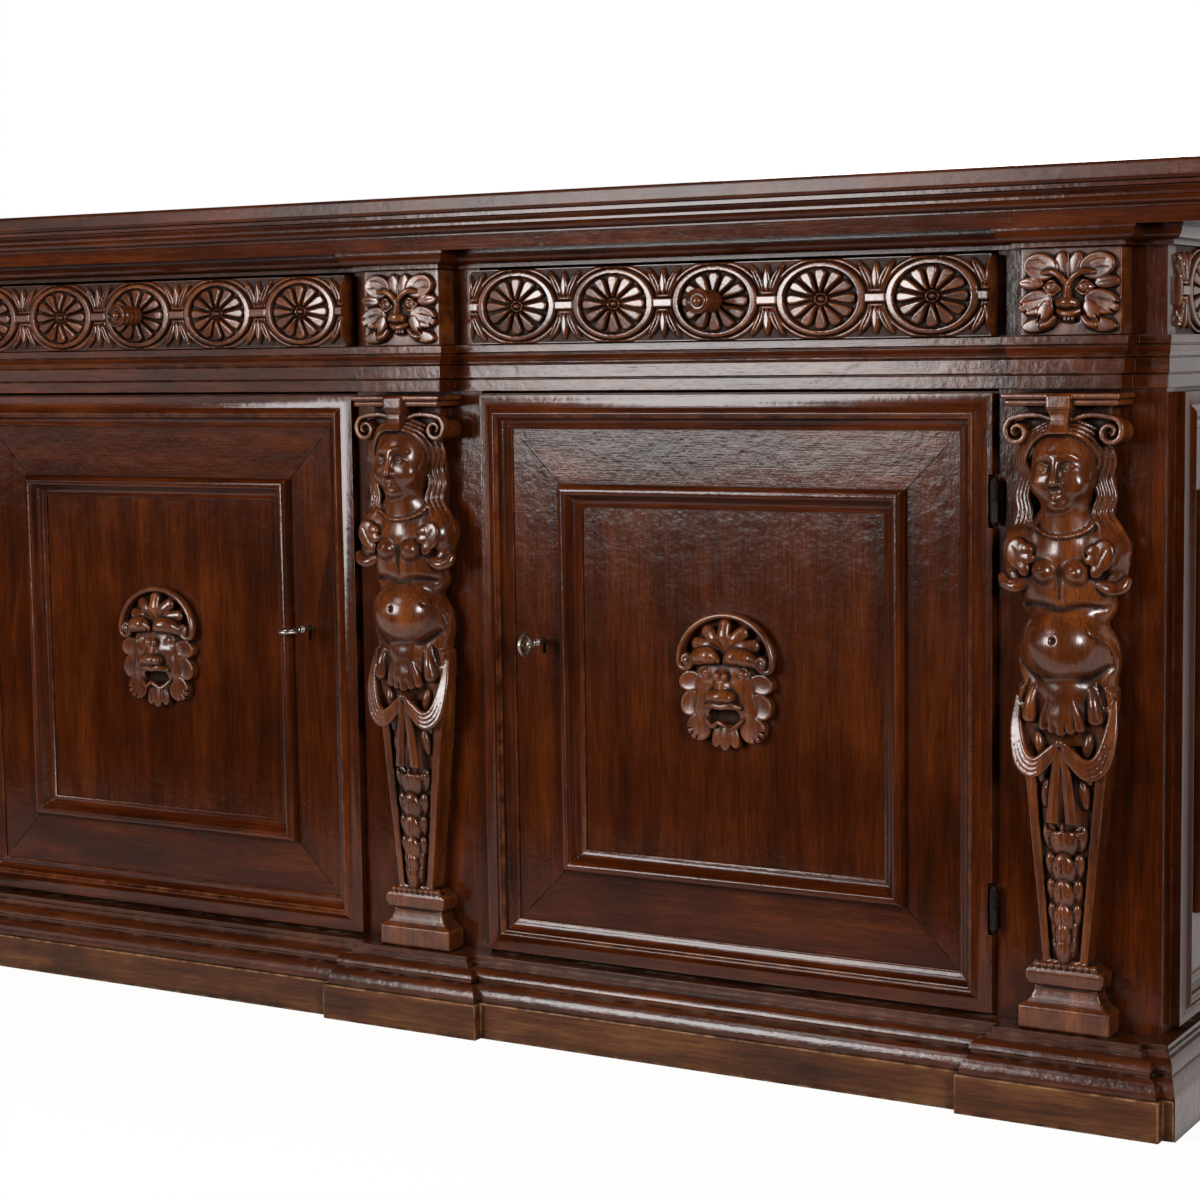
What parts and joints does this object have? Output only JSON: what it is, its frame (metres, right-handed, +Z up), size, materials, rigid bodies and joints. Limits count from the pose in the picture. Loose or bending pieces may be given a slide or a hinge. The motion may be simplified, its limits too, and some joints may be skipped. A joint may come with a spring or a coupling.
{
  "type": "carved credenza",
  "caption": "Long carved walnut credenza with herm figures between panelled doors, rosette-carved frieze drawers, leaf masks, locks with keys and moulded cornice and plinth.",
  "frame": {"origin": "floor, at the middle of the bounding box's bottom", "axes": "+X along the length to the right seen from the front, +Y from front to back, +Z up"},
  "size_m": [2.1758, 0.58, 1.08],
  "materials": {
    "walnut": "dark waxed walnut, worn at the edges",
    "carved_walnut": "carved dark walnut with dust in the hollows",
    "inner_walnut": "unpolished planed wood",
    "black_iron": "blackened wrought iron",
    "worn_steel": "worn filed steel"
  },
  "bodies": {
    "carcase": {"top_board": "walnut", "cornice_front": "walnut", "cornice_left": "walnut", "cornice_right": "walnut", "waist_rail": "walnut", "waist_left": "walnut", "waist_right": "walnut", "base_moulding": "walnut", "base_left": "walnut", "base_right": "walnut", "plinth_front": "walnut", "center_stile": "walnut", "corner_stile_left": "walnut", "corner_stile_right": "walnut", "side_frame_left": "walnut", "side_frame_right": "walnut", "side_panel_left": "walnut", "side_panel_right": "walnut", "side_frieze_left": "carved_walnut", "side_frieze_right": "carved_walnut", "back_board": "inner_walnut", "bottom_board": "inner_walnut", "dust_board": "inner_walnut", "drawer_divider": "inner_walnut", "frieze_block_left": "carved_walnut", "frieze_block_center": "carved_walnut", "frieze_block_right": "carved_walnut", "caryatid_left": "carved_walnut", "caryatid_center": "carved_walnut", "caryatid_right": "carved_walnut", "frame_hinge_lower_left": "black_iron", "frame_hinge_upper_left": "black_iron", "frame_hinge_lower_right": "black_iron", "frame_hinge_upper_right": "black_iron"},
    "door_left": {"door_frame_left": "walnut", "door_outer_moulding_left": "walnut", "door_inner_moulding_left": "walnut", "door_panel_left": "walnut", "door_mask_left": "carved_walnut", "lock_case_left": "black_iron", "door_hinge_lower_left": "black_iron", "door_hinge_upper_left": "black_iron"},
    "key_left": {"key_left": "worn_steel"},
    "bolt_left": {"lock_bolt_left": "worn_steel"},
    "drawer_left": {"drawer_front_left": "carved_walnut", "drawer_box_left": "inner_walnut", "drawer_knob_left": "carved_walnut"},
    "door_right": {"door_frame_right": "walnut", "door_outer_moulding_right": "walnut", "door_inner_moulding_right": "walnut", "door_panel_right": "walnut", "door_mask_right": "carved_walnut", "lock_case_right": "black_iron", "door_hinge_lower_right": "black_iron", "door_hinge_upper_right": "black_iron"},
    "key_right": {"key_right": "worn_steel"},
    "bolt_right": {"lock_bolt_right": "worn_steel"},
    "drawer_right": {"drawer_front_right": "carved_walnut", "drawer_box_right": "inner_walnut", "drawer_knob_right": "carved_walnut"}
  },
  "joints": [
    {"name": "door_left_hinge", "type": "hinge", "parent": "carcase", "child": "door_left", "pos_m": [-0.8044, -0.21, 0.46725], "axis": [0, 0, -1], "range_deg": [0, 95]},
    {"name": "key_left_turn", "type": "hinge", "parent": "door_left", "child": "key_left", "pos_m": [-0.187, -0.2, 0.51475], "axis": [0, 1, 0], "range_deg": [0, 180]},
    {"name": "bolt_left_throw", "type": "slide", "parent": "door_left", "child": "bolt_left", "axis": [1, 0, 0], "range_m": [0, 0.012]},
    {"name": "drawer_left_slide", "type": "slide", "parent": "carcase", "child": "drawer_left", "axis": [0, -1, 0], "range_m": [0, 0.3]},
    {"name": "door_right_hinge", "type": "hinge", "parent": "carcase", "child": "door_right", "pos_m": [0.8044, -0.21, 0.46725], "axis": [0, 0, 1], "range_deg": [0, 95]},
    {"name": "key_right_turn", "type": "hinge", "parent": "door_right", "child": "key_right", "pos_m": [0.187, -0.2, 0.51475], "axis": [0, 1, 0], "range_deg": [0, 180]},
    {"name": "bolt_right_throw", "type": "slide", "parent": "door_right", "child": "bolt_right", "axis": [-1, 0, 0], "range_m": [0, 0.012]},
    {"name": "drawer_right_slide", "type": "slide", "parent": "carcase", "child": "drawer_right", "axis": [0, -1, 0], "range_m": [0, 0.3]}
  ],
  "couplings": [
    {"joint": "key_left_turn", "follows": "bolt_left_throw", "rad_per_m": 261.8},
    {"joint": "key_right_turn", "follows": "bolt_right_throw", "rad_per_m": 261.8}
  ]
}
